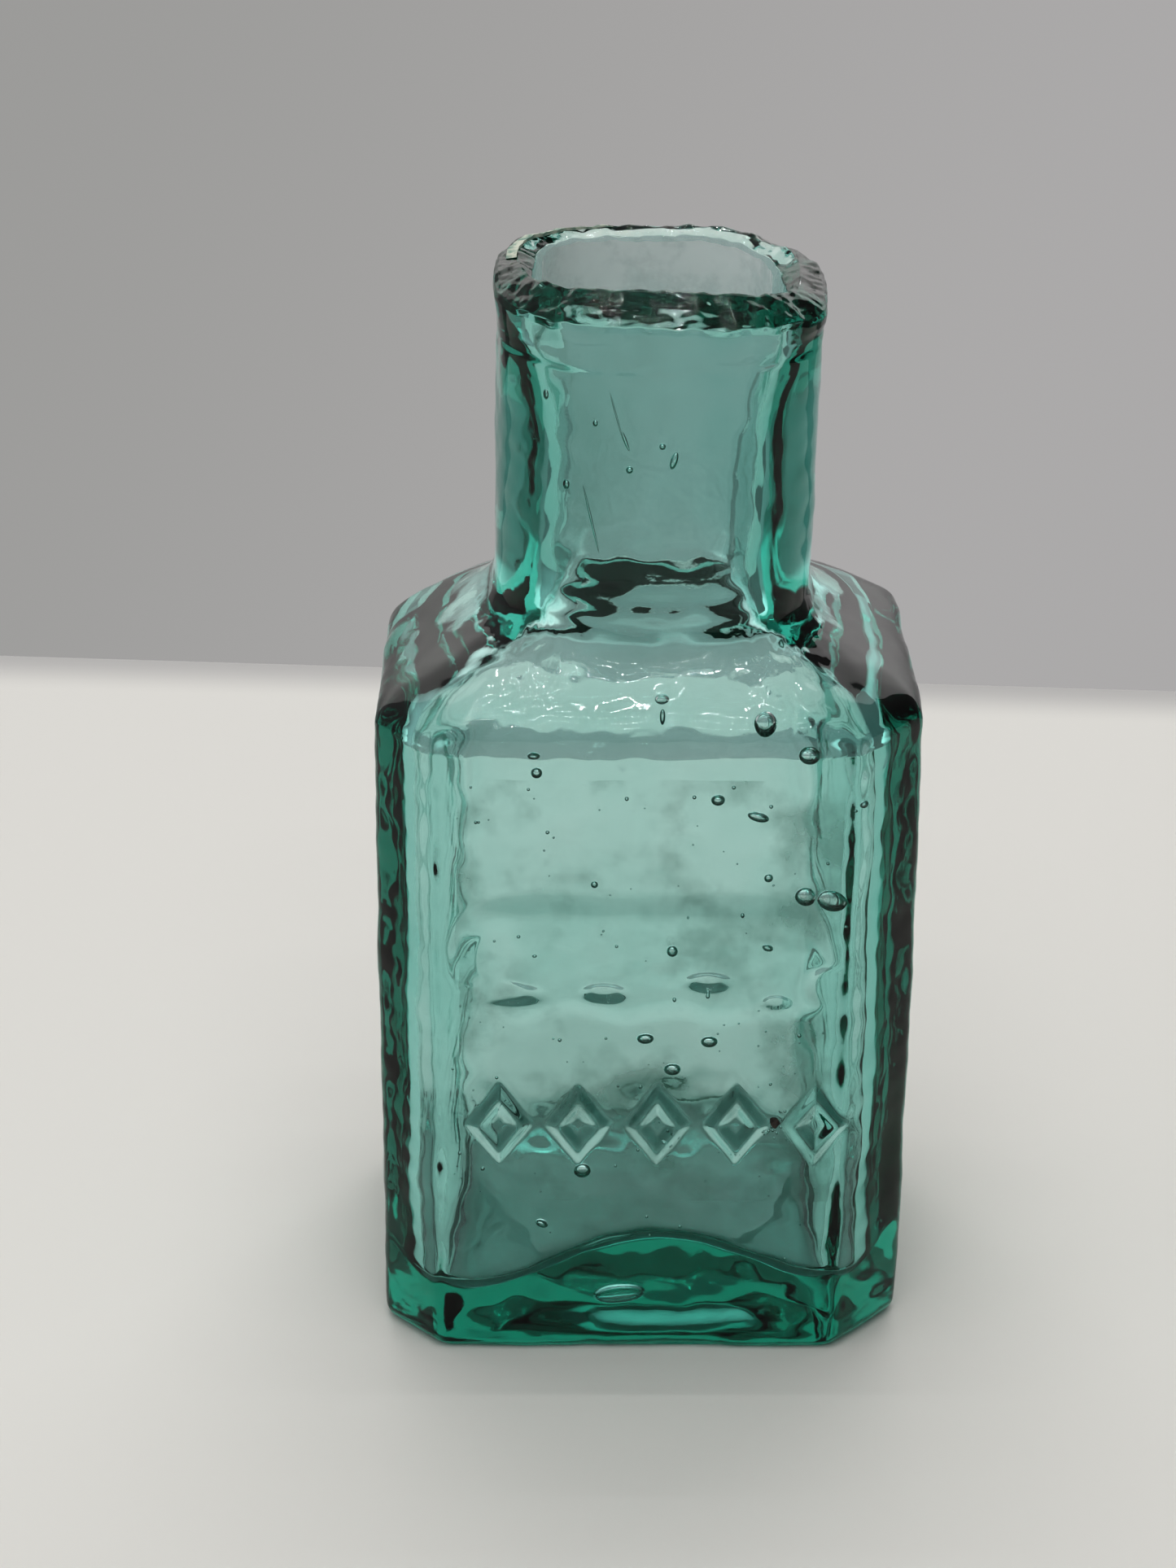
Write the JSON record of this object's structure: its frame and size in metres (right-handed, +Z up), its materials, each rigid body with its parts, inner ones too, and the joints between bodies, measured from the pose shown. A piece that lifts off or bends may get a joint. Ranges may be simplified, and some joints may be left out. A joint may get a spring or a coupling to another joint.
{
  "type": "glass bottle",
  "caption": "Small upright rectangular aqua glass bottle with chamfered corners, sloping shoulders, a short wide neck and a rough sheared lip.",
  "frame": {"origin": "middle of the bottle's flat underside, on the surface it stands on", "axes": "+Z up through the neck and mouth, +X across the wide front face, the ornamented front face towards -Y"},
  "size_m": [0.0388, 0.033, 0.0796],
  "materials": {
    "aqua_glass": "glossy, slightly pitted, transparent aqua",
    "stone": "matt dark brown",
    "lime": "matt chalky deposit"
  },
  "bodies": {
    "root": {"base": "aqua_glass", "body": "aqua_glass", "shoulder": "aqua_glass", "neck": "aqua_glass", "lip": "aqua_glass", "relief_panel": "aqua_glass", "relief_motif_1": "aqua_glass", "relief_motif_2": "aqua_glass", "relief_motif_3": "aqua_glass", "relief_motif_4": "aqua_glass", "relief_motif_5": "aqua_glass", "stone_grain": "stone", "lime_crust": "lime"}
  },
  "joints": []
}
